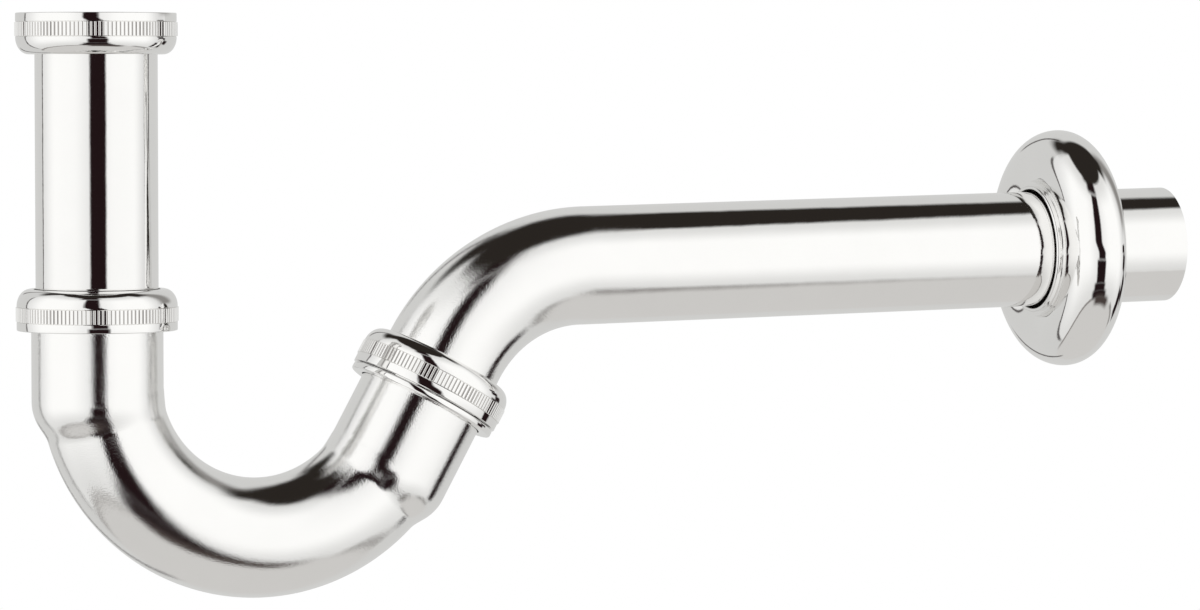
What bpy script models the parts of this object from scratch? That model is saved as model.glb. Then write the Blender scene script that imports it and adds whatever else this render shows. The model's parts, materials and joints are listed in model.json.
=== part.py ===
"""A chrome-plated brass tubular P trap, 1 1/2 inch by 40 mm, in metres with +Z up.

The origin is the centre of the inlet nut's mouth, which screws up onto a basin waste. The inlet
tube hangs straight down from it into the U-bend, and the outlet arm runs from the U-bend along
+X to the wall. Everything is symmetric about the XZ plane.
"""

from math import asin, cos, pi, radians, sin, sqrt, tau

import bmesh
import bpy
from mathutils import Matrix, Vector

# Tubes
TUBE_RADIUS = 0.020
TUBE_WALL = 0.001
INLET_TUBE_END = 0.119  # depth of the inlet tube's lower end below the origin
FLANGE_RADIUS = 0.0236

# Slip nuts, measured from the mouth towards the shoulder
NUT_RADIUS = 0.0262
NUT_KNURL_RADIUS = 0.0265
NUT_BORE = 0.0243
NUT_HOLE = 0.0205
NUT_KNURL_START = 0.0030
NUT_KNURL_END = 0.0076
NUT_SHOULDER_START = 0.0079
NUT_SHOULDER_WIDTH = 0.0043
NUT_HEIGHT = 0.0135
NUT_FLOOR = 0.0113
NUT_CHAMFER = 0.0020

# Rings inside a nut, measured from its mouth
RING_BORE = 0.0204
SLIP_RING_RADIUS = 0.0238
SLIP_RING_START = 0.0089
SLIP_RING_END = 0.0109
SLIP_RING_CHAMFER = 0.0018
SEAL_BORE = 0.0203
SEAL_RADIUS = 0.0237
SEAL_START = 0.00595
SEAL_END = 0.00855
SEAL_CHAMFER = 0.0016
FLANGE_START = 0.0071
FLANGE_END = 0.00855
GASKET_BORE = 0.0192
GASKET_START = 0.0043
GASKET_END = 0.0068

# U-bend, with a straight socket at each end
BEND_INLET_NUT_MOUTH = 0.1035  # depth of the lower nut's mouth below the origin
SOCKET_END_IN_NUT = 0.0056
BEND_RADIUS = 0.05465  # of the curve that both sockets' axes touch
BEND_INSET = 0.0008  # how far the bent tube's centreline lies inside that curve
BEND_ANGLE = radians(151.2)
BEND_INLET_STRAIGHT = 0.02156
BEND_OUTLET_STRAIGHT = 0.02636
BEND_TUBE_RADIUS = 0.0199
BEND_TUBE_BORE = 0.0188
SOCKET_RADIUS = 0.0215
SOCKET_BORE = 0.0206
SOCKET_REACH = 0.0073  # how far each socket runs straight past the start of the curve
SOCKET_ROUND = 0.0160  # radius of the shoulder that closes it down onto the tube

# Threaded collars on the sockets
COLLAR_BORE = 0.0218
COLLAR_RADIUS = 0.0239
COLLAR_START = 0.0006
COLLAR_FLANGE_RADIUS = 0.0258
COLLAR_FLANGE_START = -0.0026
COLLAR_FLANGE_END = -0.0003

# Outlet arm, measured from the outlet end of the U-bend's curve
ARM_START = 0.00536
ARM_BEND_START = 0.03603
ARM_BEND_RADIUS = 0.0570
ARM_BEND_ANGLE = radians(60.0)
ARM_WALL_LENGTH = 0.21977
ARM_FLATTENING = 0.0004  # what cold bending takes off each side halfway round the curve

# Rosette, measured along the wall tube from the plane of its widest circle
ROSETTE_FROM_END = 0.0399
ROSETTE_RADIUS = 0.0413
ROSETTE_SHEET = 0.0009
FACE_ROUND = 0.0113
FACE_ANGLE = radians(128.0)  # how far the face's round runs in, over its crest, to the neck
BACK_ROUND = 0.0091
BACK_ANGLE = radians(54.0)  # where the round back ends in a flat edge against the wall
NECK_BORE = 0.0208
NECK_RADIUS = 0.0221
NECK_FRONT = -0.01165
NECK_BACK = -0.00775
NECK_STEP_RADIUS = 0.0227
NECK_STEP_FRONT = -0.0096
GRIP_RING_RADIUS = 0.0226
GRIP_RING_START = -0.0073
GRIP_RING_END = -0.0050

# Facets
SEGMENTS = 32
SHOULDER_STEPS = 4
LIP_STEPS = 4
FACE_STEPS = 8
BACK_STEPS = 3
SOCKET_STEP = radians(3.5)
SOCKET_STEPS = 6
BEND_MIDDLE_STEPS = 10
ARM_BEND_STEPS = 9
BISECTIONS = 30

SHARP_ANGLE = radians(40.0)

CHROME = ((0.82, 0.83, 0.84, 1.0), 0.07, 1.0)
NYLON = ((0.90, 0.90, 0.86, 1.0), 0.45, 0.0)
RUBBER = ((0.03, 0.03, 0.03, 1.0), 0.75, 0.0)


def clear_scene():
    for obj in list(bpy.data.objects):
        bpy.data.objects.remove(obj, do_unlink=True)


def make_material(name, look):
    colour, roughness, metallic = look
    material = bpy.data.materials.new(name)
    material.use_nodes = True
    shader = material.node_tree.nodes["Principled BSDF"]
    shader.inputs["Base Color"].default_value = colour
    shader.inputs["Roughness"].default_value = roughness
    shader.inputs["Metallic"].default_value = metallic
    material.diffuse_color = colour
    return material


def add_axis(name, origin, direction, side=Vector((0, 1, 0))):
    """An empty whose local Z runs along direction and whose local Y runs along side."""
    turn = Matrix((side.cross(direction), side, direction)).transposed().to_4x4()
    empty = bpy.data.objects.new(name, None)
    empty.empty_display_size = 0.02
    bpy.context.collection.objects.link(empty)
    empty.matrix_world = Matrix.Translation(origin) @ turn
    return empty


def add_object(name, mesh_data, look, axis, offset=0.0):
    """Puts the mesh on an axis empty, offset along it."""
    mesh = bpy.data.meshes.new(name)
    bmesh.ops.recalc_face_normals(mesh_data, faces=mesh_data.faces)
    mesh_data.to_mesh(mesh)
    mesh_data.free()
    mesh.shade_smooth()
    mesh.set_sharp_from_angle(angle=SHARP_ANGLE)
    mesh.materials.append(make_material(name, look))
    obj = bpy.data.objects.new(name, mesh)
    bpy.context.collection.objects.link(obj)
    obj.parent = axis
    obj.location = (0, 0, offset)
    return obj


def add_turned(name, profile, look, axis, offset=0.0):
    """A closed profile of (radius, height) points spun round the axis."""
    turned = bmesh.new()
    corners = [turned.verts.new((radius, 0, height)) for radius, height in profile]
    edges = [turned.edges.new((a, b)) for a, b in zip(corners, corners[1:] + corners[:1])]
    bmesh.ops.spin(
        turned,
        geom=corners + edges,
        cent=(0, 0, 0),
        axis=(0, 0, 1),
        angle=tau,
        steps=SEGMENTS,
        use_merge=True,
    )
    return add_object(name, turned, look, axis, offset)


def oval_points(centre, width, height, start, stop, steps):
    """Points of (radius, height) along an oval arc of a profile, both ends included."""
    turns = [start + (stop - start) * step / steps for step in range(steps + 1)]
    return [(centre[0] + width * cos(turn), centre[1] + height * sin(turn)) for turn in turns]


def round_points(centre, radius, start, stop, steps):
    return oval_points(centre, radius, radius, start, stop, steps)


def nut_profile():
    shoulder_centre = (NUT_RADIUS - NUT_SHOULDER_WIDTH, NUT_SHOULDER_START)
    shoulder_height = NUT_HEIGHT - NUT_SHOULDER_START
    return [
        (NUT_BORE, 0),
        (NUT_RADIUS, 0),
        (NUT_RADIUS, NUT_KNURL_START),
        (NUT_KNURL_RADIUS, NUT_KNURL_START),
        (NUT_KNURL_RADIUS, NUT_KNURL_END),
        (NUT_RADIUS, NUT_KNURL_END),
        *oval_points(
            shoulder_centre, NUT_SHOULDER_WIDTH, shoulder_height, 0, pi / 2, SHOULDER_STEPS
        ),
        (NUT_HOLE, NUT_HEIGHT),
        (NUT_HOLE, NUT_FLOOR),
        (NUT_BORE - NUT_CHAMFER, NUT_FLOOR),
        (NUT_BORE, NUT_FLOOR - NUT_CHAMFER),
    ]


def chamfered_ring(bore, radius, start, end, chamfer):
    """A flat ring whose outer corner is cut back at its far end."""
    return [
        (bore, start),
        (radius, start),
        (radius, end - chamfer),
        (radius - chamfer, end),
        (bore, end),
    ]


def flat_ring(bore, radius, start, end):
    return [(bore, start), (radius, start), (radius, end), (bore, end)]


def slip_ring_profile():
    return chamfered_ring(
        RING_BORE, SLIP_RING_RADIUS, SLIP_RING_START, SLIP_RING_END, SLIP_RING_CHAMFER
    )


def seal_profile():
    return chamfered_ring(SEAL_BORE, SEAL_RADIUS, SEAL_START, SEAL_END, SEAL_CHAMFER)


def inlet_tube_profile():
    bore = TUBE_RADIUS - TUBE_WALL
    return [
        (bore, FLANGE_START),
        (FLANGE_RADIUS, FLANGE_START),
        (FLANGE_RADIUS, FLANGE_END),
        (TUBE_RADIUS, FLANGE_END),
        (TUBE_RADIUS, INLET_TUBE_END),
        (bore, INLET_TUBE_END),
    ]


def flanged_collar_profile():
    return [
        (COLLAR_BORE, COLLAR_FLANGE_START),
        (COLLAR_FLANGE_RADIUS, COLLAR_FLANGE_START),
        (COLLAR_FLANGE_RADIUS, COLLAR_FLANGE_END),
        (COLLAR_RADIUS, COLLAR_FLANGE_END),
        (COLLAR_RADIUS, SOCKET_END_IN_NUT),
        (COLLAR_BORE, SOCKET_END_IN_NUT),
    ]


def rosette_profile():
    """A thin domed shell: neck, round face and round back outside, and the same inside."""
    lip_round = (NECK_RADIUS - NECK_BORE) / 2
    lip = (NECK_BORE + lip_round, NECK_FRONT + lip_round)
    face = (ROSETTE_RADIUS - FACE_ROUND, 0.0)
    back = (ROSETTE_RADIUS - BACK_ROUND, 0.0)
    inside_face = FACE_ROUND - ROSETTE_SHEET
    inside_back = BACK_ROUND - ROSETTE_SHEET
    inside_back_angle = asin(BACK_ROUND * sin(BACK_ANGLE) / inside_back)
    face_outside = round_points(face, FACE_ROUND, -FACE_ANGLE, 0, FACE_STEPS)
    face_inside = round_points(face, inside_face, 0, -FACE_ANGLE, FACE_STEPS)
    return [
        (NECK_BORE, NECK_BACK),
        *round_points(lip, lip_round, -pi, 0, LIP_STEPS),
        (NECK_RADIUS, NECK_STEP_FRONT),
        (NECK_STEP_RADIUS, NECK_STEP_FRONT),
        (NECK_STEP_RADIUS, face_outside[0][1]),
        *face_outside,
        *round_points(back, BACK_ROUND, 0, BACK_ANGLE, BACK_STEPS)[1:],
        *round_points(back, inside_back, inside_back_angle, 0, BACK_STEPS),
        *face_inside[1:],
        (face_inside[-1][0], NECK_BACK),
    ]


def bend_frame(angle, radius, inset=0.0):
    """Centre, outward and forward directions on a curve that leaves local Z towards +X.

    The centre lies inset towards the middle of the curve.
    """
    reach = radius - inset
    centre = Vector((radius - reach * cos(angle), 0, reach * sin(angle)))
    outward = Vector((-cos(angle), 0, sin(angle)))
    forward = Vector((sin(angle), 0, cos(angle)))
    return centre, outward, forward


def socket_radius(depth, radius):
    """The socket's radius at a depth past the start of the curve, where its end rounds in."""
    past = min(max(0.0, depth - SOCKET_REACH), SOCKET_ROUND)
    return radius - SOCKET_ROUND + sqrt(SOCKET_ROUND**2 - past**2)


def blended_radius(angle, around, tube, socket):
    """Whichever stands further out: the curved tube, or the straight socket that it leaves."""
    nearest = min(angle, BEND_ANGLE - angle)
    centre, outward, _ = bend_frame(nearest, BEND_RADIUS, BEND_INSET)
    ray = outward * cos(around) + Vector((0, sin(around), 0))

    def inside_socket(reach):
        point = centre + ray * reach
        return point.xy.length < socket_radius(point.z, socket)

    if nearest > BEND_ANGLE / 4 or not inside_socket(tube):
        return tube
    low, high = tube, 2 * socket
    for _ in range(BISECTIONS):
        middle = (low + high) / 2
        if inside_socket(middle):
            low = middle
        else:
            high = middle
    return low


def u_bend_stations():
    """The curve's frames, each with its angle, and a frame at each socket's mouth."""
    start = BEND_ANGLE - SOCKET_STEP * SOCKET_STEPS
    first = SOCKET_STEP * SOCKET_STEPS
    angles = [SOCKET_STEP * step for step in range(SOCKET_STEPS)]
    angles += [
        first + (start - first) * step / BEND_MIDDLE_STEPS for step in range(BEND_MIDDLE_STEPS)
    ]
    angles += [start + SOCKET_STEP * step for step in range(SOCKET_STEPS + 1)]
    stations = [(bend_frame(angle, BEND_RADIUS, BEND_INSET), angle) for angle in angles]
    (centre, outward, forward), angle = stations[0]
    inlet_mouth = ((centre - forward * BEND_INLET_STRAIGHT, outward, forward), angle)
    (centre, outward, forward), angle = stations[-1]
    outlet_mouth = ((centre + forward * BEND_OUTLET_STRAIGHT, outward, forward), angle)
    return [inlet_mouth, *stations, outlet_mouth]


def arm_stations():
    """The bend's frames, each with its share of the bend, and a frame at each end of the arm."""
    stations = []
    for step in range(ARM_BEND_STEPS + 1):
        share = step / ARM_BEND_STEPS
        stations.append((bend_frame(ARM_BEND_ANGLE * share, ARM_BEND_RADIUS), share))
    (centre, outward, forward), share = stations[0]
    lower_end = ((centre + forward * (ARM_START - ARM_BEND_START), outward, forward), share)
    (centre, outward, forward), share = stations[-1]
    wall_end = ((centre + forward * ARM_WALL_LENGTH, outward, forward), share)
    return [lower_end, *stations, wall_end]


def flattened(radius, around, share):
    """The radius of the bent arm at an angle around from its outer side."""
    return radius - ARM_FLATTENING * cos(around) ** 2 * sin(pi * share)


def add_pipe(name, stations, outside, bore, look, axis, offset=0.0):
    """A hollow pipe skinned over its stations. outside and bore give a radius at a station."""
    pipe = bmesh.new()

    def ring(station, radius_at):
        (centre, outward, _), value = station
        corners = []
        for segment in range(SEGMENTS):
            around = tau * segment / SEGMENTS
            ray = outward * cos(around) + Vector((0, sin(around), 0))
            corners.append(pipe.verts.new(centre + ray * radius_at(value, around)))
        return corners

    def skin(rings):
        for near, far in zip(rings, rings[1:]):
            for segment in range(SEGMENTS):
                after = (segment + 1) % SEGMENTS
                pipe.faces.new((near[segment], near[after], far[after], far[segment]))

    outer = [ring(station, outside) for station in stations]
    inner = [ring(station, bore) for station in stations]
    skin(outer + inner[::-1] + outer[:1])
    return add_object(name, pipe, look, axis, offset)


def add_bend(axis):
    add_pipe(
        "u_bend",
        u_bend_stations(),
        lambda angle, around: blended_radius(angle, around, BEND_TUBE_RADIUS, SOCKET_RADIUS),
        lambda angle, around: blended_radius(angle, around, BEND_TUBE_BORE, SOCKET_BORE),
        CHROME,
        axis,
    )


def add_arm(axis):
    add_pipe(
        "outlet_arm",
        arm_stations(),
        lambda share, around: flattened(TUBE_RADIUS, around, share),
        lambda share, around: flattened(TUBE_RADIUS - TUBE_WALL, around, share),
        CHROME,
        axis,
        ARM_BEND_START,
    )


def add_inlet(axis):
    gasket = flat_ring(GASKET_BORE, FLANGE_RADIUS, GASKET_START, GASKET_END)
    add_turned("inlet_nut", nut_profile(), CHROME, axis)
    add_turned("inlet_gasket", gasket, RUBBER, axis)
    add_turned("inlet_slip_ring", slip_ring_profile(), NYLON, axis)
    add_turned("inlet_tube", inlet_tube_profile(), CHROME, axis)


def add_slip_joint(side, axis, mouth, collar):
    """The nut, its two rings and the threaded collar at one end of the U-bend."""
    add_turned(f"bend_{side}_nut", nut_profile(), CHROME, axis, mouth)
    add_turned(f"bend_{side}_slip_ring", slip_ring_profile(), NYLON, axis, mouth)
    add_turned(f"bend_{side}_seal", seal_profile(), RUBBER, axis, mouth)
    add_turned(f"bend_{side}_collar", collar, CHROME, axis, mouth)


def add_rosette(axis):
    grip_ring = flat_ring(SEAL_BORE, GRIP_RING_RADIUS, GRIP_RING_START, GRIP_RING_END)
    add_turned("rosette", rosette_profile(), CHROME, axis)
    add_turned("rosette_grip_ring", grip_ring, RUBBER, axis)


def main():
    clear_scene()
    down = Vector((0, 0, -1))
    up = -down
    socket_end = SOCKET_END_IN_NUT - BEND_INLET_NUT_MOUTH
    bend_start = Vector((0, 0, socket_end - BEND_INLET_STRAIGHT))

    # The U-bend's curve leaves downwards and turns towards +X, its frame's local X.
    bend_axis = add_axis("bend_start", bend_start, down, side=Vector((0, -1, 0)))
    centre, _, forward = bend_frame(BEND_ANGLE, BEND_RADIUS)
    bend_end = bend_start + Vector((centre.x, 0, -centre.z))
    outlet = Vector((forward.x, 0, -forward.z))

    inlet_axis = add_axis("inlet_axis", Vector(), down)
    lower_axis = add_axis("bend_inlet_axis", Vector((0, 0, -BEND_INLET_NUT_MOUTH)), up)
    outlet_axis = add_axis("bend_outlet_axis", bend_end, outlet)
    frame = outlet_axis.matrix_world
    arm_centre, _, arm_forward = bend_frame(ARM_BEND_ANGLE, ARM_BEND_RADIUS)
    wall_start = frame @ (arm_centre + Vector((0, 0, ARM_BEND_START)))
    wall_direction = frame.to_3x3() @ arm_forward
    rosette_centre = wall_start + wall_direction * (ARM_WALL_LENGTH - ROSETTE_FROM_END)
    wall_axis = add_axis("wall_axis", rosette_centre, wall_direction)

    plain_collar = flat_ring(COLLAR_BORE, COLLAR_RADIUS, COLLAR_START, SOCKET_END_IN_NUT)
    outlet_mouth = BEND_OUTLET_STRAIGHT - SOCKET_END_IN_NUT
    add_inlet(inlet_axis)
    add_bend(bend_axis)
    add_slip_joint("inlet", lower_axis, 0.0, plain_collar)
    add_slip_joint("outlet", outlet_axis, outlet_mouth, flanged_collar_profile())
    add_arm(outlet_axis)
    add_rosette(wall_axis)


main()
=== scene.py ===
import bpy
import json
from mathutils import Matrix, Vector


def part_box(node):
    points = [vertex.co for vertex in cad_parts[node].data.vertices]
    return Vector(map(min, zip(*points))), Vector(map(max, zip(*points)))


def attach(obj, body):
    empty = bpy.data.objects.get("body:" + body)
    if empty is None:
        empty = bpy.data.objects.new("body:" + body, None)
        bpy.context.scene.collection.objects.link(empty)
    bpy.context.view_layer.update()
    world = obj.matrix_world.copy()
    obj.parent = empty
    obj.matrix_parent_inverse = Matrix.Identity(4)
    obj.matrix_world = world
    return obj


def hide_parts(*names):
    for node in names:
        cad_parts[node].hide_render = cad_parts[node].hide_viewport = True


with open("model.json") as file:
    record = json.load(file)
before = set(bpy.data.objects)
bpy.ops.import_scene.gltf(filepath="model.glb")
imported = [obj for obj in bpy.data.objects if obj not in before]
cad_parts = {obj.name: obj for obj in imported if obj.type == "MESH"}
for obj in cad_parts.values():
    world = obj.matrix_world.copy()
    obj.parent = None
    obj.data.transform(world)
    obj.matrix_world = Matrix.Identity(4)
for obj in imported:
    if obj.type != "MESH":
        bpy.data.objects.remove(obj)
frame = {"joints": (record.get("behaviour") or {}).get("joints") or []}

"""Looks for a chrome tubular P trap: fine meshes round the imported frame, a white studio and a camera.

Lengths are in metres. Every turned piece has a profile of (radius, height) points about its axis,
and both curved tubes are skinned over stations along their centrelines.
"""

import json
from math import acos, asin, ceil, cos, pi, radians, sin, sqrt, tan, tau

import bmesh
import bpy
from mathutils import Matrix, Vector

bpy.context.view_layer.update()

# Tubes
TUBE_RADIUS = 0.020
TUBE_BORE = 0.019
TUBE_EDGE = 0.0003
FLANGE_RADIUS = 0.0236

# Slip nuts, measured from the mouth towards the shoulder
NUT_RADIUS = 0.0262
NUT_KNURL_RADIUS = 0.0265
NUT_BORE = 0.0243
NUT_HOLE = 0.0205
NUT_KNURL_START = 0.0030
NUT_KNURL_END = 0.0076
NUT_SHOULDER_START = 0.0079
NUT_SHOULDER_WIDTH = 0.0043
NUT_HEIGHT = 0.0135
NUT_FLOOR = 0.0113
NUT_CHAMFER = 0.0020
NUT_LIP = 0.0004
NUT_EDGE = 0.0003
KNURL_GROOVE = 0.00022
FLUTES = 122
FLUTE_DEPTH = 0.00016
FLUTE_START = 0.50
FLUTE_PHASES = (0.0, 0.50, 0.57, 0.64, 0.71, 0.79, 0.86, 0.93)

# Pipe thread, G 1 1/2
THREAD_PITCH = 0.002309
THREAD_DEPTH = 0.0008
NUT_THREAD_DEPTH = 0.0005  # its crests pass the seal as the nut is screwed off
THREAD_STEPS = 10
THREAD_RUNOUT = 0.0006
RIDGE_HEIGHT = 1.25  # a ridge before its crest is cut off at 1
RIDGE_SLOPE = 3.5  # how fast it falls away over one pitch

# Rings inside a nut, measured from its mouth
RING_BORE = 0.0204
SLIP_RING_RADIUS = 0.0238
SLIP_RING_START = 0.0089
SLIP_RING_END = 0.0109
SLIP_RING_CHAMFER = 0.0018
SEAL_BORE = 0.0203
SEAL_RADIUS = 0.0237
SEAL_START = 0.00595
SEAL_END = 0.00855
SEAL_CHAMFER = 0.0016
SEAL_MIDDLE = 0.0072
FLANGE_START = 0.0071
FLANGE_END = 0.00855
GASKET_BORE = 0.0192
GASKET_START = 0.0043
GASKET_END = 0.0068
RING_EDGE = 0.00015

# U-bend
BEND_RADIUS = 0.05465
BEND_INSET = 0.0008
BEND_ANGLE = radians(151.2)
BEND_INLET_STRAIGHT = 0.02156
BEND_OUTLET_STRAIGHT = 0.02636
BEND_TUBE_RADIUS = 0.0199
BEND_TUBE_BORE = 0.0188
SOCKET_RADIUS = 0.0215
SOCKET_BORE = 0.0206
SOCKET_END_IN_NUT = 0.0056
SOCKET_REACH = 0.0073
SOCKET_ROUND = 0.0160
SOCKET_BLEND = 0.0016
SOCKET_SPAN = radians(30.0)

# Threaded collars on the sockets, measured from the nut's mouth
COLLAR_BORE = 0.0218
COLLAR_RADIUS = 0.0239
COLLAR_START = 0.0006
COLLAR_FLANGE_RADIUS = 0.0258
COLLAR_FLANGE_START = -0.0026
COLLAR_FLANGE_END = -0.0003
COLLAR_EDGE = 0.0006

# Outlet arm, measured from the outlet end of the U-bend's curve
ARM_START = 0.00536
ARM_BEND_START = 0.03603
ARM_BEND_RADIUS = 0.0570
ARM_BEND_ANGLE = radians(60.0)
ARM_WALL_LENGTH = 0.21977
ARM_FLATTENING = 0.0004

# Rosette, measured along the wall tube from the plane of its widest circle
ROSETTE_RADIUS = 0.0413
ROSETTE_SHEET = 0.0009
FACE_ROUND = 0.0113
FACE_ANGLE = radians(128.0)
BACK_ROUND = 0.0091
BACK_ANGLE = radians(54.0)
NECK_BORE = 0.0208
NECK_RADIUS = 0.0221
NECK_FRONT = -0.01165
NECK_BACK = -0.00775
NECK_STEP_RADIUS = 0.0227
NECK_STEP_FRONT = -0.0096
NECK_STEP_EDGE = 0.00025
GRIP_RING_RADIUS = 0.0226
GRIP_RING_START = -0.0073
GRIP_RING_END = -0.0050

# How finely the meshes are cut
SEGMENTS = 192
EDGE_STEPS = 3
ROUND_STEP = radians(4.0)
SOCKET_STATION = radians(0.5)
BEND_STATION = radians(1.5)
STRAIGHT_STATION = 0.010
BISECTIONS = 24
SHARP_ANGLE = radians(38.0)

# Materials: noise in features per metre along a piece's own axes, depths in metres
PLAIN_DETAIL = 2.0
CHROME_BRIGHT = (0.915, 0.910, 0.900)
CHROME_DULL = (0.885, 0.880, 0.870)
SMOOTH_ROUGHNESS = (0.035, 0.060)
GRAIN_ROUGHNESS = (0.055, 0.085)
CLOUD_SCALE = (70, 70, 70)
CLOUD_DETAIL = 4.0
WAVE_SCALE = (60, 60, 60)
WAVE_DEPTH = 8e-5
LINE_SCALE = (70, 70, 2600)
LINE_DEPTH = 8e-7
SMOOTH_SCALE = (1300, 1300, 1300)
SMOOTH_DEPTH = 4e-6
GRAIN_SCALE = (2100, 2100, 2100)
GRAIN_DEPTH = 3.6e-5
GRAIN_FADE = 0.030
# unplated metal, near black as painted shade in the nuts' insides and the rosette's neck
BARE_METAL_SHADE = (0.05, 0.04, 0.035)
BARE_ROUGHNESS = 0.55
# painted shade in the bottoms of the knurl's flutes
FLUTE_SHADE_COLOUR = (0.42, 0.40, 0.38)
FLUTE_SHADE_START = 0.00006  # how far below the lands of the knurl the painted shade begins
PEBBLE_SCALE = (3000, 3000, 3000)
PEBBLE_DETAIL = 3.0
BLOTCH_SCALE = (160, 160, 160)
BLOTCH_DETAIL = 4.0
RUBBER_LIGHT = (0.035, 0.034, 0.033)
RUBBER_DARK = (0.018, 0.018, 0.018)
RUBBER_ROUGHNESS = (0.55, 0.8)
RUBBER_PEBBLES = 4e-5
NYLON_LIGHT = (0.88, 0.87, 0.82)
NYLON_DARK = (0.80, 0.79, 0.72)
NYLON_ROUGHNESS = (0.38, 0.5)
NYLON_PEBBLES = 1e-5

# Floor: a lit white table well below the trap
FLOOR_HEIGHT = -0.55
FLOOR_RADIUS = 2.6
FLOOR_COLOUR = (0.95, 0.95, 0.95, 1)
FLOOR_GLOW = 1.0
FLOOR_ROUGHNESS = 0.9

# Camera
CAMERA_AIM = Vector((0.1757, 0, -0.0982))
CAMERA_DISTANCE = 1.696
CAMERA_AZIMUTH = radians(-20.8)
CAMERA_ELEVATION = radians(2.66)
CAMERA_LENS = 150.0
SENSOR_WIDTH = 36.0

# Studio: a white tent with soft openings, by direction from the trap. Each patch has its name, the
# degrees round from the camera of its middle, half its width, its lowest and highest elevation, how
# soft its sides are, how soft its top and bottom are, and its colour. They are set so that the chrome
# shows its dark bands from the main camera.
BACKDROP = (1.0, 1.0, 1.0)
STUDIO_WHITE = (1.09, 1.09, 1.08)
DARK = (0.016, 0.008, 0.009)
CEILING = (0.024, 0.020, 0.017)
LEANING = "camera gap"  # leans to the viewer's left by so many degrees between two elevations
LEAN = 12.0
LEAN_LOW = -5.0
LEAN_HIGH = 8.0
STUDIO_PATCHES = (
    ("front walls", 0, 20, -95, 95, 42, 1, (0.90, 0.90, 0.895)),
    ("right wall's far edge", -112, 17, -95, 95, 34, 1, (0.78, 0.78, 0.775)),
    ("left wall's far edge", 118, 20, -95, 95, 40, 1, (0.82, 0.82, 0.815)),
    ("lower walls", 0, 181, -95, -26, 1, 34, (0.80, 0.80, 0.79)),
    ("upper walls", 0, 181, 48, 95, 1, 26, (0.80, 0.80, 0.79)),
    ("back wall", 176, 62, -95, 95, 2, 1, (0.67, 0.67, 0.66)),
    ("floor", 0, 181, -95, -45, 1, 4, (0.655, 0.645, 0.63)),
    ("floor edge, right", -96, 23, -46.5, -42, 12, 3, (0.32, 0.31, 0.30)),
    ("floor edge, left", 72, 54, -46.5, -44, 24, 2, (0.26, 0.24, 0.23)),
    ("right gap", -113, 8.5, -38, -19, 5, 6, DARK),
    ("right gap, bent", -123, 7.5, -21, -10, 5, 4, DARK),
    ("right gap, straight", -115, 8, -10, -2.5, 5, 3, DARK),
    ("right gap, middle", -111, 7.5, -2.2, 1.5, 3, 1.5, DARK),
    ("right gap, upper", -126, 14, 8, 70, 18, 10, (0.28, 0.27, 0.26)),
    ("left seam", 116, 1.5, -40, 30, 2, 10, (0.10, 0.09, 0.09)),
    ("back seam, lower", 155, 2, -50, -12, 3, 5, (0.12, 0.11, 0.11)),
    ("back seam, upper", 155, 2, 14, 50, 3, 5, (0.12, 0.11, 0.11)),
    (LEANING, -10, 11.5, -10, 50, 6, 4, DARK),
    ("camera gap, top", 8, 19, 51, 95, 14, 8, DARK),
    ("camera gap, lower", -8.5, 15.5, -32, -10, 6, 4, DARK),
    ("camera gap, low", -7, 21, -40, -31, 10, 5, DARK),
    ("camera gap, lowest", -8, 28, -46, -38, 12, 5, DARK),
    ("table shadow", -23, 31, -53, -43, 20, 7, (0.07, 0.055, 0.05)),
    ("ceiling, left", 136, 20, 43, 95, 22, 12, CEILING),
    ("ceiling, right", -112, 19, 50, 95, 16, 12, CEILING),
    ("ceiling, front", 28, 16, 59.5, 95, 20, 8, CEILING),
    ("ceiling, back", 180, 64, 56, 95, 14, 8, CEILING),
    ("ceiling", 0, 181, 63, 95, 1, 5, CEILING),
)

# The sockets of a Mix node that blends colours: its factor, A and B, and its result
MIX_INPUTS = (0, 6, 7)
MIX_OUTPUT = 2

HALF_TURN = 180.0
Y_AXIS = Vector((0, 1, 0))
DOWN = Vector((0, 0, -1))
JOINTS = {joint["name"]: joint for joint in frame["joints"]}


# ---------------------------------------------------------------- shapes

def axis_matrix(origin, direction, side=Y_AXIS):
    """A frame whose local Z runs along direction and whose local Y runs along side."""
    turn = Matrix((side.cross(direction), side, direction)).transposed().to_4x4()
    return Matrix.Translation(origin) @ turn


def joint_matrix(name, offset=0.0):
    """The frame of a joint's axis, its origin moved along the axis by offset."""
    direction = Vector(JOINTS[name]["axis"]).normalized()
    return axis_matrix(Vector(JOINTS[name]["pos_m"]) + direction * offset, direction)


def arc(centre, radii, start, stop):
    """Points of (radius, height) along an elliptical arc, both ends included."""
    steps = max(2, ceil(abs(stop - start) / ROUND_STEP))
    turns = [start + (stop - start) * step / steps for step in range(steps + 1)]
    return [(centre[0] + radii[0] * cos(t), centre[1] + radii[1] * sin(t)) for t in turns]


def rounded(before, corner, after, radius):
    """Points along the small arc that replaces the corner between two neighbours."""
    corner = Vector(corner)
    near = (Vector(before) - corner).normalized()
    far = (Vector(after) - corner).normalized()
    half = acos(max(-1.0, min(1.0, near.dot(far)))) / 2
    centre = corner + (near + far).normalized() * radius / sin(half)
    arm = corner + near * radius / tan(half) - centre
    turn = arm.angle_signed(corner + far * radius / tan(half) - centre)
    points = []
    for step in range(EDGE_STEPS + 1):
        spoke = arm.copy()
        spoke.rotate(Matrix.Rotation(-turn * step / EDGE_STEPS, 2))
        points.append(tuple(centre + spoke))
    return points


def softened(corners):
    """A closed profile from (radius, height, rounding) corners."""
    points = []
    for index, (radius, height, rounding) in enumerate(corners):
        if rounding:
            before, after = corners[index - 1][:2], corners[(index + 1) % len(corners)][:2]
            points += rounded(before, (radius, height), after, rounding)
        else:
            points.append((radius, height))
    return points


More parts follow.
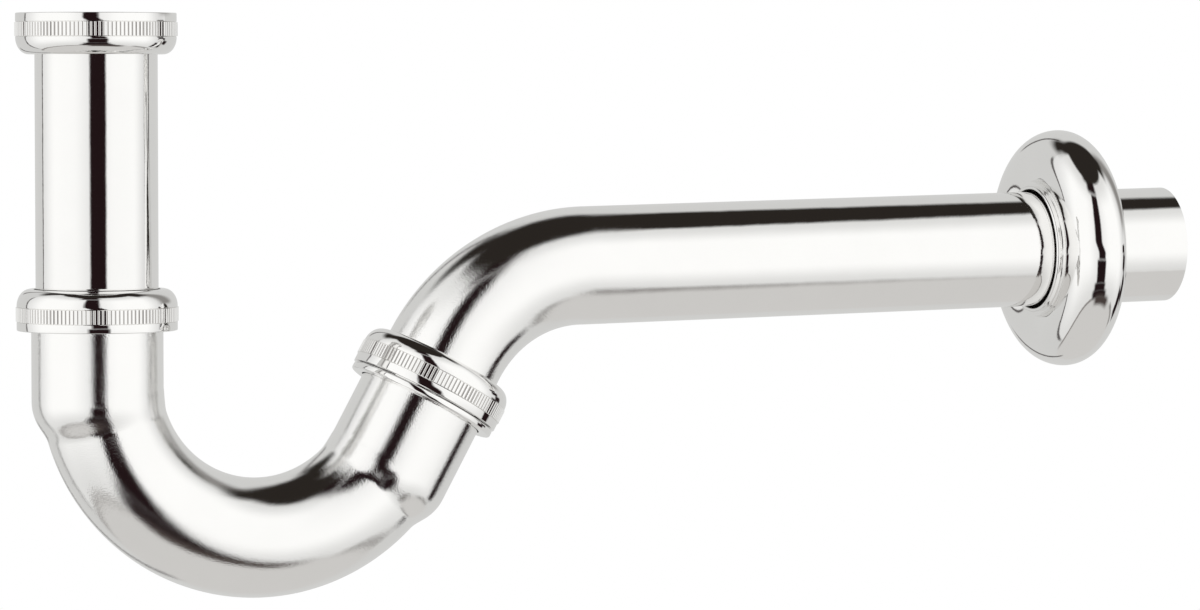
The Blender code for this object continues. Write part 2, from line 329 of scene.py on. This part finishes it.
def skinned(rings):
    """A closed bmesh over rings of points, each a loop, the last joined to the first."""
    made = bmesh.new()
    loops = [[made.verts.new(point) for point in ring] for ring in rings]
    for near, far in zip(loops, loops[1:] + loops[:1]):
        for index in range(len(near)):
            after = (index + 1) % len(near)
            made.faces.new((near[index], near[after], far[after], far[index]))
    return made


def turned(profile, angles=None, cut=None):
    """A closed profile spun round local Z. cut(radius, height, angle) gives the final radius."""
    angles = angles or [tau * index / SEGMENTS for index in range(SEGMENTS)]
    rings = []
    for radius, height in profile:
        reach = [cut(radius, height, angle) if cut else radius for angle in angles]
        rings.append([(r * cos(a), r * sin(a), height) for r, a in zip(reach, angles)])
    return skinned(rings)


def add_piece(name, shape, material, matrix, body, node):
    """Turns a bmesh into a piece that rides on a body and stands for a CAD node."""
    mesh = bpy.data.meshes.new(name)
    bmesh.ops.recalc_face_normals(shape, faces=shape.faces)
    shape.to_mesh(mesh)
    shape.free()
    mesh.shade_smooth()
    mesh.set_sharp_from_angle(angle=SHARP_ANGLE)
    mesh.materials.append(material)
    piece = bpy.data.objects.new(name, mesh)
    piece.matrix_world = matrix
    bpy.context.scene.collection.objects.link(piece)
    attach(piece, body)
    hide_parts(node)
    return piece


# ---------------------------------------------------------------- threads and knurling

def thread_ridge(height, angle):
    """A right-hand thread's ridge, from 0 in the root to 1 on the crest."""
    phase = (height / THREAD_PITCH - angle / tau) % 1.0
    return max(0.0, min(1.0, RIDGE_HEIGHT - abs(phase - 0.5) * RIDGE_SLOPE))


def thread_fade(height, start, end):
    """How fully the thread is cut at a height: it runs out at both ends."""
    return max(0.0, min(1.0, (height - start) / THREAD_RUNOUT, (end - height) / THREAD_RUNOUT))


def thread_heights(start, end):
    """Heights close enough together to draw a thread."""
    count = ceil((end - start) / THREAD_PITCH * THREAD_STEPS)
    return [start + (end - start) * step / count for step in range(count + 1)]


def flute_depth(angle):
    """How far a knurl's flute is cut below its lands at an angle."""
    phase = (angle * FLUTES / tau) % 1.0
    across = max(0.0, (phase - FLUTE_START) / (1 - FLUTE_START))
    return FLUTE_DEPTH * 4 * across * (1 - across)


# ---------------------------------------------------------------- turned pieces

def nut_profile():
    """The nut's section, out over the rim, knurl and shoulder and back down its threaded bore."""
    shoulder = arc(
        (NUT_RADIUS - NUT_SHOULDER_WIDTH, NUT_SHOULDER_START),
        (NUT_SHOULDER_WIDTH, NUT_HEIGHT - NUT_SHOULDER_START),
        0,
        pi / 2,
    )
    lip = arc((NUT_HOLE + NUT_LIP, NUT_HEIGHT - NUT_LIP), (NUT_LIP, NUT_LIP), pi / 2, pi)
    rim = softened([
        (NUT_BORE, 0, NUT_EDGE),
        (NUT_RADIUS, 0, NUT_EDGE),
        (NUT_RADIUS, NUT_KNURL_START - KNURL_GROOVE, 0),
        (NUT_RADIUS - KNURL_GROOVE, NUT_KNURL_START - KNURL_GROOVE / 2, 0),
        (NUT_RADIUS, NUT_KNURL_START, 0),
        (NUT_KNURL_RADIUS, NUT_KNURL_START + KNURL_GROOVE / 4, 0),
        (NUT_KNURL_RADIUS, NUT_KNURL_END - KNURL_GROOVE / 4, 0),
        (NUT_RADIUS, NUT_KNURL_END, 0),
        (NUT_RADIUS - KNURL_GROOVE, NUT_KNURL_END + KNURL_GROOVE / 2, 0),
        (NUT_RADIUS, NUT_KNURL_END + KNURL_GROOVE, 0),
    ])
    bore = [(NUT_BORE, height) for height in thread_heights(NUT_EDGE * 2, NUT_FLOOR - NUT_CHAMFER)]
    floor = [(NUT_HOLE, NUT_FLOOR), (NUT_BORE - NUT_CHAMFER, NUT_FLOOR)]
    return rim + shoulder + lip + floor + bore[::-1]


def nut_cut(radius, height, angle):
    """Cuts the knurl's flutes into the band and raises the thread in the bore."""
    if radius == NUT_KNURL_RADIUS:
        return radius - flute_depth(angle)
    if radius == NUT_BORE:
        fade = thread_fade(height, NUT_EDGE, SEAL_START)
        return radius - NUT_THREAD_DEPTH * fade * thread_ridge(height, angle)
    return radius


def nut_shape():
    """A knurled slip nut."""
    turns = [tau * (flute + phase) / FLUTES for flute in range(FLUTES) for phase in FLUTE_PHASES]
    return turned(nut_profile(), turns, nut_cut)


def plain_ring(bore, radius, start, end):
    """A flat ring with softened edges."""
    return turned(softened([
        (bore, start, RING_EDGE),
        (radius, start, RING_EDGE),
        (radius, end, RING_EDGE),
        (bore, end, RING_EDGE),
    ]))


def chamfered_ring(bore, radius, start, end, chamfer):
    """A ring whose outer top edge is bevelled."""
    return turned(softened([
        (bore, start, RING_EDGE),
        (radius, start, RING_EDGE),
        (radius, end - chamfer, RING_EDGE),
        (radius - chamfer, end, RING_EDGE),
        (bore, end, RING_EDGE),
    ]))


def slip_ring_shape():
    """A nylon ring that lets a nut turn on its seal."""
    return chamfered_ring(
        RING_BORE, SLIP_RING_RADIUS, SLIP_RING_START, SLIP_RING_END, SLIP_RING_CHAMFER
    )


def seal_shape():
    """A rubber ring with a bevelled top, which the nut squeezes onto the tube."""
    return chamfered_ring(SEAL_BORE, SEAL_RADIUS, SEAL_START, SEAL_END, SEAL_CHAMFER)


def inlet_tube_shape(length):
    """A straight tube with its top end turned out into a flange."""
    return turned(softened([
        (TUBE_BORE, FLANGE_START, TUBE_EDGE),
        (FLANGE_RADIUS, FLANGE_START, TUBE_EDGE),
        (FLANGE_RADIUS, FLANGE_END, TUBE_EDGE),
        (TUBE_RADIUS, FLANGE_END, TUBE_EDGE),
        (TUBE_RADIUS, length, TUBE_EDGE),
        (TUBE_BORE, length, TUBE_EDGE),
    ]))


def collar_cut(radius, height, angle):
    """Raises the external thread, which meshes with the nut's, from its root."""
    if radius != COLLAR_RADIUS:
        return radius
    fade = thread_fade(height, COLLAR_START, SOCKET_END_IN_NUT)
    return radius - THREAD_DEPTH * (1 - fade * (1 - thread_ridge(height, angle)))


def collar_shape(flanged):
    """A threaded collar, with or without a flange below its nut."""
    thread = [(COLLAR_RADIUS, height) for height in thread_heights(COLLAR_START, SOCKET_END_IN_NUT)]
    foot = [(COLLAR_BORE, COLLAR_START)]
    if flanged:
        foot = softened([
            (COLLAR_BORE, COLLAR_FLANGE_START, RING_EDGE),
            (COLLAR_FLANGE_RADIUS, COLLAR_FLANGE_START, COLLAR_EDGE),
            (COLLAR_FLANGE_RADIUS, COLLAR_FLANGE_END, COLLAR_EDGE),
            (COLLAR_RADIUS - THREAD_DEPTH, COLLAR_FLANGE_END, 0),
        ])
    return turned(foot + thread + [(COLLAR_BORE, SOCKET_END_IN_NUT)], cut=collar_cut)


def circle(centre, radius, start, stop):
    """Points along a round arc, both ends included."""
    return arc(centre, (radius, radius), start, stop)


def rosette_shape():
    """A thin domed shell: rolled neck, round face and round back outside, and the same inside."""
    lip_round = (NECK_RADIUS - NECK_BORE) / 2
    lip = (NECK_BORE + lip_round, NECK_FRONT + lip_round)
    step = (NECK_STEP_RADIUS - NECK_STEP_EDGE, NECK_STEP_FRONT + NECK_STEP_EDGE)
    face = (ROSETTE_RADIUS - FACE_ROUND, 0.0)
    back = (ROSETTE_RADIUS - BACK_ROUND, 0.0)
    inside_face = FACE_ROUND - ROSETTE_SHEET
    inside_back = BACK_ROUND - ROSETTE_SHEET
    inside_back_angle = asin(BACK_ROUND * sin(BACK_ANGLE) / inside_back)
    face_outside = circle(face, FACE_ROUND, -FACE_ANGLE, 0)
    face_inside = circle(face, inside_face, 0, -FACE_ANGLE)
    return turned([
        (NECK_BORE, NECK_BACK),
        *circle(lip, lip_round, -pi, 0),
        (NECK_RADIUS, NECK_STEP_FRONT),
        *circle(step, NECK_STEP_EDGE, -pi / 2, 0),
        (NECK_STEP_RADIUS, face_outside[0][1]),
        *face_outside,
        *circle(back, BACK_ROUND, 0, BACK_ANGLE)[1:],
        *circle(back, inside_back, inside_back_angle, 0),
        *face_inside[1:],
        (face_inside[-1][0], NECK_BACK),
    ])


# ---------------------------------------------------------------- bent tubes

def bend_frame(angle, radius, inset=0.0):
    """Centre, outward and forward directions on a curve that leaves local Z towards +X.

    The centre lies inset towards the middle of the curve.
    """
    reach = radius - inset
    centre = Vector((radius - reach * cos(angle), 0, reach * sin(angle)))
    return centre, Vector((-cos(angle), 0, sin(angle))), Vector((sin(angle), 0, cos(angle)))


def socket_radius(depth, radius):
    """The socket's radius at a depth past the start of the curve, where its end rounds in."""
    past = min(max(0.0, depth - SOCKET_REACH), SOCKET_ROUND)
    return radius - SOCKET_ROUND + sqrt(SOCKET_ROUND**2 - past**2)


def blended_radius(angle, around, tube, socket):
    """The curved tube and the straight socket that it leaves, melted together where they meet."""
    nearest = min(angle, BEND_ANGLE - angle)
    centre, outward, _ = bend_frame(nearest, BEND_RADIUS, BEND_INSET)
    ray = outward * cos(around) + Y_AXIS * sin(around)
    blend = SOCKET_BLEND * min(1.0, centre.z / SOCKET_REACH)

    def inside_socket(reach):
        point = centre + ray * reach
        return point.xy.length < socket_radius(point.z, socket)

    low, high = tube - blend, 2 * socket
    if nearest > SOCKET_SPAN or not inside_socket(low):
        return tube
    for _ in range(BISECTIONS):
        middle = (low + high) / 2
        if inside_socket(middle):
            low = middle
        else:
            high = middle
    if abs(tube - low) >= blend:
        return max(tube, low)
    return max(tube, low) + (blend - abs(tube - low)) ** 2 / (4 * blend)


def flattened(radius, around, share):
    """The radius of the bent arm at an angle around from its outer side."""
    return radius - ARM_FLATTENING * cos(around) ** 2 * sin(pi * share)


def pipe(stations, outside, bore):
    """A hollow pipe. A station is (centre, outward, value); outside and bore give its radii."""
    arounds = [tau * index / SEGMENTS for index in range(SEGMENTS)]

    def ring(station, radius_at):
        centre, outward, value = station
        rays = [outward * cos(around) + Y_AXIS * sin(around) for around in arounds]
        return [centre + ray * radius_at(value, around) for ray, around in zip(rays, arounds)]

    outer = [ring(station, outside) for station in stations]
    inner = [ring(station, bore) for station in stations]
    return skinned(outer + inner[::-1])


def spaced(start, stop, step):
    """Even values from start to stop, both included, no further apart than step."""
    count = max(1, ceil(abs(stop - start) / step))
    return [start + (stop - start) * index / count for index in range(count + 1)]


def straight(frame_at_end, start, stop, value):
    """Stations every so often along a straight run, measured forward from a bend's end."""
    centre, outward, forward = frame_at_end
    heights = spaced(start, stop, STRAIGHT_STATION)
    return [(centre + forward * height, outward, value) for height in heights]


def u_bend_shape():
    """The U-bend with a socket at each end, its stations closest where the sockets melt in."""
    angles = spaced(0, SOCKET_SPAN, SOCKET_STATION)
    angles += spaced(SOCKET_SPAN, BEND_ANGLE - SOCKET_SPAN, BEND_STATION)[1:]
    angles += spaced(BEND_ANGLE - SOCKET_SPAN, BEND_ANGLE, SOCKET_STATION)[1:]
    frames = [bend_frame(angle, BEND_RADIUS, BEND_INSET) for angle in angles]
    curve = [(place[0], place[1], angle) for place, angle in zip(frames, angles)]
    return pipe(
        straight(frames[0], -BEND_INLET_STRAIGHT, 0, 0.0)[:-1]
        + curve
        + straight(frames[-1], 0, BEND_OUTLET_STRAIGHT, BEND_ANGLE)[1:],
        lambda angle, around: blended_radius(angle, around, BEND_TUBE_RADIUS, SOCKET_RADIUS),
        lambda angle, around: blended_radius(angle, around, BEND_TUBE_BORE, SOCKET_BORE),
    )


def arm_shape():
    """The swan-neck arm: a short straight, the bend and the wall tube."""
    shares = spaced(0, 1, BEND_STATION / ARM_BEND_ANGLE)
    frames = [bend_frame(ARM_BEND_ANGLE * share, ARM_BEND_RADIUS) for share in shares]
    curve = [(place[0], place[1], share) for place, share in zip(frames, shares)]
    return pipe(
        straight(frames[0], ARM_START - ARM_BEND_START, 0, 0.0)[:-1]
        + curve
        + straight(frames[-1], 0, ARM_WALL_LENGTH, 1.0)[1:],
        lambda share, around: flattened(TUBE_RADIUS, around, share),
        lambda share, around: flattened(TUBE_BORE, around, share),
    )


# ---------------------------------------------------------------- materials

def wire(tree, operation, *values):
    """A Math node over numbers or sockets; gives its output."""
    node = tree.nodes.new("ShaderNodeMath")
    node.operation = operation
    for socket, value in zip(node.inputs, values):
        if isinstance(value, (int, float)):
            socket.default_value = value
        else:
            tree.links.new(value, socket)
    return node.outputs["Value"]


def ramp(tree, value, start, stop):
    """A smooth rise from 0 at start to 1 at stop; it falls where stop is the lower."""
    node = tree.nodes.new("ShaderNodeMapRange")
    node.interpolation_type = "SMOOTHSTEP"
    node.inputs["From Min"].default_value = min(start, stop)
    node.inputs["From Max"].default_value = max(start, stop)
    node.inputs["To Min"].default_value = 0.0 if start < stop else 1.0
    node.inputs["To Max"].default_value = 1.0 if start < stop else 0.0
    tree.links.new(value, node.inputs["Value"])
    return node.outputs["Result"]


def mixed(tree, share, under, over):
    """Colour over laid on colour under, by share."""
    node = tree.nodes.new("ShaderNodeMix")
    node.data_type = "RGBA"
    for socket, value in zip((node.inputs[i] for i in MIX_INPUTS), (share, under, over)):
        if isinstance(value, tuple):
            socket.default_value = (*value, 1)
        else:
            tree.links.new(value, socket)
    return node.outputs[MIX_OUTPUT]


def new_material(name):
    """A material, its node tree and its shader."""
    material = bpy.data.materials.new(name)
    material.use_nodes = True
    return material, material.node_tree, material.node_tree.nodes["Principled BSDF"]


def own_place(tree):
    """A point of the surface in its piece's own frame, in metres."""
    return tree.nodes.new("ShaderNodeTexCoord").outputs["Object"]


def radius_and_height(tree):
    """A turned piece's distance from its axis and height along it."""
    split = tree.nodes.new("ShaderNodeSeparateXYZ")
    tree.links.new(own_place(tree), split.inputs["Vector"])
    x, y, z = split.outputs
    squares = wire(tree, "ADD", wire(tree, "MULTIPLY", x, x), wire(tree, "MULTIPLY", y, y))
    return wire(tree, "SQRT", squares), z


def noise(tree, per_metre, detail=PLAIN_DETAIL):
    """Noise round 0.5 in the piece's own frame, with so many features per metre along X, Y, Z."""
    stretch = tree.nodes.new("ShaderNodeMapping")
    stretch.inputs["Scale"].default_value = per_metre
    tree.links.new(own_place(tree), stretch.inputs["Vector"])
    node = tree.nodes.new("ShaderNodeTexNoise")
    node.inputs["Scale"].default_value = 1.0
    node.inputs["Detail"].default_value = detail
    tree.links.new(stretch.outputs["Vector"], node.inputs["Vector"])
    return node.outputs["Fac"]


def relief(tree, height, depth, share=1.0, under=None):
    """A bump of a depth in metres, over another; share, from 0 to 1, says how fully it shows."""
    node = tree.nodes.new("ShaderNodeBump")
    node.inputs["Distance"].default_value = depth
    tree.links.new(height, node.inputs["Height"])
    if isinstance(share, float):
        node.inputs["Strength"].default_value = share
    else:
        tree.links.new(share, node.inputs["Strength"])
    if under:
        tree.links.new(under, node.inputs["Normal"])
    return node.outputs["Normal"]


def between(tree, share, low, high):
    """A number between low and high, by share; each may be a socket."""
    span = wire(tree, "SUBTRACT", high, low)
    return wire(tree, "MULTIPLY_ADD", share, span, low)


def nut_inside(tree):
    """1 on a nut's inner surfaces, its hole, its floor and its thread, which are unplated and painted
    near black as shade.
    """
    radius, height = radius_and_height(tree)
    hole = ramp(tree, radius, NUT_HOLE + NUT_LIP / 2, NUT_HOLE + NUT_LIP / 4)
    bore = ramp(tree, radius, NUT_BORE + NUT_EDGE / 2, NUT_BORE)
    below = ramp(tree, height, NUT_FLOOR + NUT_EDGE, NUT_FLOOR)
    return wire(tree, "MAXIMUM", hole, wire(tree, "MULTIPLY", bore, below))


def flute_painted_shade(tree):
    """1 at the bottom of a nut's knurling, where shade is painted in."""
    radius, height = radius_and_height(tree)
    deep = ramp(tree, radius, NUT_KNURL_RADIUS - FLUTE_SHADE_START, NUT_KNURL_RADIUS - FLUTE_DEPTH)
    above = ramp(tree, height, NUT_KNURL_START, NUT_KNURL_START + KNURL_GROOVE)
    below = ramp(tree, height, NUT_KNURL_END, NUT_KNURL_END - KNURL_GROOVE)
    return wire(tree, "MULTIPLY", deep, wire(tree, "MULTIPLY", above, below))


def rosette_inside(tree):
    """1 in the rosette's neck, where it meets the tube, which is painted near black as shade."""
    radius, _ = radius_and_height(tree)
    return ramp(tree, radius, NECK_BORE + NECK_STEP_EDGE, NECK_BORE)


def wall_tube_share(tree):
    """1 on the arm's bend, falling to 0 along the straight wall tube."""
    along = tree.nodes.new("ShaderNodeVectorMath")
    along.operation = "DOT_PRODUCT"
    along.inputs[1].default_value = (sin(ARM_BEND_ANGLE), 0, cos(ARM_BEND_ANGLE))
    tree.links.new(own_place(tree), along.inputs[0])
    end = ARM_BEND_RADIUS * sin(ARM_BEND_ANGLE)
    return ramp(tree, along.outputs["Value"], end + GRAIN_FADE, end)


def make_chrome(name, grain=0.0, inside=None, painted_shade=None):
    """Polished plating on brass.

    grain is the share of a bend's coarse surface, inside masks unplated metal that is painted near
    black as shade, and the last mask gives painted shade in the knurl's flutes.
    """
    material, tree, shader = new_material(name)
    if not isinstance(grain, float):
        grain = grain(tree)
    cloudy = noise(tree, CLOUD_SCALE, CLOUD_DETAIL)
    colour = mixed(tree, cloudy, CHROME_BRIGHT, CHROME_DULL)
    gloss = between(tree, cloudy, *SMOOTH_ROUGHNESS)
    grained = between(tree, noise(tree, GRAIN_SCALE), *GRAIN_ROUGHNESS)
    roughness = between(tree, grain, gloss, grained)
    normal = relief(tree, noise(tree, WAVE_SCALE), WAVE_DEPTH)
    normal = relief(tree, noise(tree, LINE_SCALE), LINE_DEPTH, under=normal)
    normal = relief(tree, noise(tree, SMOOTH_SCALE), SMOOTH_DEPTH, under=normal)
    normal = relief(tree, noise(tree, GRAIN_SCALE), GRAIN_DEPTH, grain, normal)
    # painted shade: greys the bottoms of the knurl's flutes
    if painted_shade:
        colour = mixed(tree, painted_shade(tree), colour, FLUTE_SHADE_COLOUR)
    # painted shade: the masked inside surfaces turn near black and rough
    if inside:
        bare_shade = inside(tree)
        colour = mixed(tree, bare_shade, colour, BARE_METAL_SHADE)
        roughness = between(tree, bare_shade, roughness, BARE_ROUGHNESS)
    tree.links.new(colour, shader.inputs["Base Color"])
    tree.links.new(roughness, shader.inputs["Roughness"])
    tree.links.new(normal, shader.inputs["Normal"])
    shader.inputs["Metallic"].default_value = 1.0
    return material


def make_moulded(name, light, dark, roughness, depth):
    """Moulded rubber or nylon: a fine pebbled skin with faint blotches."""
    material, tree, shader = new_material(name)
    pebbles = noise(tree, PEBBLE_SCALE, PEBBLE_DETAIL)
    blotches = noise(tree, BLOTCH_SCALE, BLOTCH_DETAIL)
    tree.links.new(mixed(tree, blotches, light, dark), shader.inputs["Base Color"])
    tree.links.new(between(tree, pebbles, *roughness), shader.inputs["Roughness"])
    tree.links.new(relief(tree, pebbles, depth), shader.inputs["Normal"])
    return material


def make_materials():
    """Every look by name."""
    return {
        "drawn chrome": make_chrome("drawn_chrome_plate"),
        "bent chrome": make_chrome("bent_chrome_plate", grain=1.0),
        "arm chrome": make_chrome("arm_chrome_plate", grain=wall_tube_share),
        "nut chrome": make_chrome("nut_chrome_plate", inside=nut_inside, painted_shade=flute_painted_shade),
        "rosette chrome": make_chrome("rosette_chrome_plate", inside=rosette_inside),
        "rubber": make_moulded(
            "black_seal_rubber", RUBBER_LIGHT, RUBBER_DARK, RUBBER_ROUGHNESS, RUBBER_PEBBLES
        ),
        "nylon": make_moulded(
            "white_ring_nylon", NYLON_LIGHT, NYLON_DARK, NYLON_ROUGHNESS, NYLON_PEBBLES
        ),
    }


# ---------------------------------------------------------------- the trap

def add_trap():
    """Places every piece where the frame's joints say."""
    materials = make_materials()
    waste = axis_matrix(Vector(), DOWN)
    lower = joint_matrix("bend_inlet_nut_turn", -SEAL_MIDDLE)
    outlet = joint_matrix("bend_outlet_nut_turn", -SEAL_MIDDLE)
    wall = joint_matrix("rosette_turn")
    bend_depth = -lower.translation.z - SOCKET_END_IN_NUT + BEND_INLET_STRAIGHT
    bend_start = axis_matrix(Vector((0, 0, -bend_depth)), DOWN, -Y_AXIS)
    bend_end = outlet @ Matrix.Translation((0, 0, SOCKET_END_IN_NUT - BEND_OUTLET_STRAIGHT))
    arm_start = bend_end @ Matrix.Translation((0, 0, ARM_BEND_START))
    tube_length = -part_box("inlet_tube")[0].z

    gasket = plain_ring(GASKET_BORE, FLANGE_RADIUS, GASKET_START, GASKET_END)
    grip_ring = plain_ring(SEAL_BORE, GRIP_RING_RADIUS, GRIP_RING_START, GRIP_RING_END)

    def add(node, shape, look, matrix, body=None):
        add_piece(node + "_detail", shape, materials[look], matrix, body or node, node)

    add("inlet_nut", nut_shape(), "nut chrome", waste)
    add("inlet_gasket", gasket, "rubber", waste, "inlet")
    add("inlet_slip_ring", slip_ring_shape(), "nylon", waste)
    add("inlet_tube", inlet_tube_shape(tube_length), "drawn chrome", waste, "inlet")
    add("u_bend", u_bend_shape(), "bent chrome", bend_start)
    for side, matrix in (("inlet", lower), ("outlet", outlet)):
        add(f"bend_{side}_nut", nut_shape(), "nut chrome", matrix)
        add(f"bend_{side}_slip_ring", slip_ring_shape(), "nylon", matrix)
        add(f"bend_{side}_seal", seal_shape(), "rubber", matrix)
        collar = collar_shape(side == "outlet")
        add(f"bend_{side}_collar", collar, "drawn chrome", matrix, "u_bend")
    add("outlet_arm", arm_shape(), "arm chrome", arm_start)
    add("rosette", rosette_shape(), "rosette chrome", wall)
    add("rosette_grip_ring", grip_ring, "rubber", wall)


def add_floor():
    """A white disc that glows like a light table, so it meets the pale background without a line.

    The chrome doesn't reflect it: the studio's floor patch stands in for it there.
    """
    disc = bmesh.new()
    bmesh.ops.create_circle(disc, cap_ends=True, radius=FLOOR_RADIUS, segments=SEGMENTS)
    mesh = bpy.data.meshes.new("floor")
    disc.to_mesh(mesh)
    disc.free()
    material, _, shader = new_material("lit_white_table")
    shader.inputs["Base Color"].default_value = FLOOR_COLOUR
    shader.inputs["Emission Color"].default_value = FLOOR_COLOUR
    shader.inputs["Emission Strength"].default_value = FLOOR_GLOW
    shader.inputs["Roughness"].default_value = FLOOR_ROUGHNESS
    mesh.materials.append(material)
    floor = bpy.data.objects.new("floor", mesh)
    floor.location = (CAMERA_AIM.x, 0, FLOOR_HEIGHT)
    floor.visible_glossy = False
    bpy.context.scene.collection.objects.link(floor)


def add_camera():
    """The camera looks at the trap from its left and slightly above."""
    data = bpy.data.cameras.new("camera")
    data.lens = CAMERA_LENS
    data.sensor_width = SENSOR_WIDTH
    camera = bpy.data.objects.new("camera", data)
    bpy.context.scene.collection.objects.link(camera)
    towards = Vector((
        sin(CAMERA_AZIMUTH) * cos(CAMERA_ELEVATION),
        -cos(CAMERA_AZIMUTH) * cos(CAMERA_ELEVATION),
        sin(CAMERA_ELEVATION),
    ))
    camera.location = CAMERA_AIM + towards * CAMERA_DISTANCE
    camera.rotation_euler = (-towards).to_track_quat("-Z", "Y").to_euler()
    bpy.context.scene.camera = camera


def sky_angles(tree):
    """Degrees round from the camera, to the viewer's left positive, and degrees above the horizon."""
    place = tree.nodes.new("ShaderNodeTexCoord")
    turn = tree.nodes.new("ShaderNodeVectorRotate")
    turn.rotation_type = "Z_AXIS"
    turn.inputs["Angle"].default_value = -CAMERA_AZIMUTH
    tree.links.new(place.outputs["Generated"], turn.inputs["Vector"])
    split = tree.nodes.new("ShaderNodeSeparateXYZ")
    tree.links.new(turn.outputs["Vector"], split.inputs["Vector"])
    x, y, z = split.outputs
    left = wire(tree, "MULTIPLY", x, -1.0)
    near = wire(tree, "MULTIPLY", y, -1.0)
    azimuth = wire(tree, "DEGREES", wire(tree, "ARCTAN2", left, near))
    elevation = wire(tree, "DEGREES", wire(tree, "ARCSINE", z))
    return azimuth, elevation


def patch_mask(tree, azimuth, elevation, patch):
    """How far a direction lies within a patch, with soft edges."""
    name, centre, half, low, high, soft, soft_height, _ = patch
    if name == LEANING:
        lean = wire(tree, "MULTIPLY", ramp(tree, elevation, LEAN_LOW, LEAN_HIGH), LEAN)
        azimuth = wire(tree, "SUBTRACT", azimuth, lean)
    side = wire(tree, "WRAP", wire(tree, "SUBTRACT", azimuth, float(centre)), HALF_TURN, -HALF_TURN)
    across = ramp(tree, wire(tree, "ABSOLUTE", side), half + soft / 2, half - soft / 2)
    above = ramp(tree, elevation, low - soft_height / 2, low + soft_height / 2)
    below = ramp(tree, elevation, high + soft_height / 2, high - soft_height / 2)
    return wire(tree, "MULTIPLY", across, wire(tree, "MULTIPLY", above, below))


def add_studio():
    """Lights the trap with the studio; the camera itself sees a plain white backdrop."""
    world = bpy.data.worlds.new("studio")
    world.use_nodes = True
    tree = world.node_tree
    azimuth, elevation = sky_angles(tree)
    colour = STUDIO_WHITE
    for patch in STUDIO_PATCHES:
        colour = mixed(tree, patch_mask(tree, azimuth, elevation, patch), colour, patch[-1])
    seen = tree.nodes.new("ShaderNodeLightPath").outputs["Is Camera Ray"]
    colour = mixed(tree, seen, colour, BACKDROP)
    tree.links.new(colour, tree.nodes["Background"].inputs["Color"])
    bpy.context.scene.world = world
    bpy.context.scene.view_settings.view_transform = "Standard"


def main():
    """Builds the scene."""
    add_camera()
    add_trap()
    add_floor()
    add_studio()


main()
